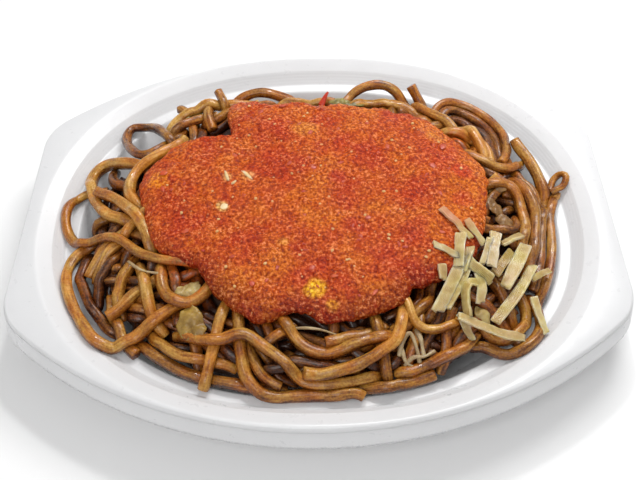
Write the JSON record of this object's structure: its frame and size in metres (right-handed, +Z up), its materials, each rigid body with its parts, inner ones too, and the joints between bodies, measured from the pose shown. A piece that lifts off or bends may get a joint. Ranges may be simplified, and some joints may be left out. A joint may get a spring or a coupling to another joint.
{
  "type": "plate of fried noodles with red sauce",
  "caption": "Thick fried noodles heaped on an oval white plate, topped with a thick red pepper sauce and a small pile of pale pickled strips.",
  "frame": {"origin": "centre of the plate's flat base, on the surface it stands on", "axes": "+X along the plate's long side, +Y away from the diner, +Z up"},
  "size_m": [0.2448, 0.1992, 0.0455],
  "materials": {
    "plate": "smooth, slightly translucent white",
    "noodles": "oily, golden to reddish brown, mottled",
    "sauce": "wet and grainy",
    "pickled_strips": "wet, pale yellow, translucent",
    "cabbage": "oily, fried",
    "pepper": "wet red skin"
  },
  "bodies": {
    "root": {"plate": "plate", "noodles": "noodles", "sauce": "sauce", "pickled_strips": "pickled_strips", "cabbage_leaf_front": "cabbage", "cabbage_leaf_back": "cabbage", "cabbage_leaf_right": "cabbage", "pepper_sliver": "pepper"}
  },
  "joints": []
}
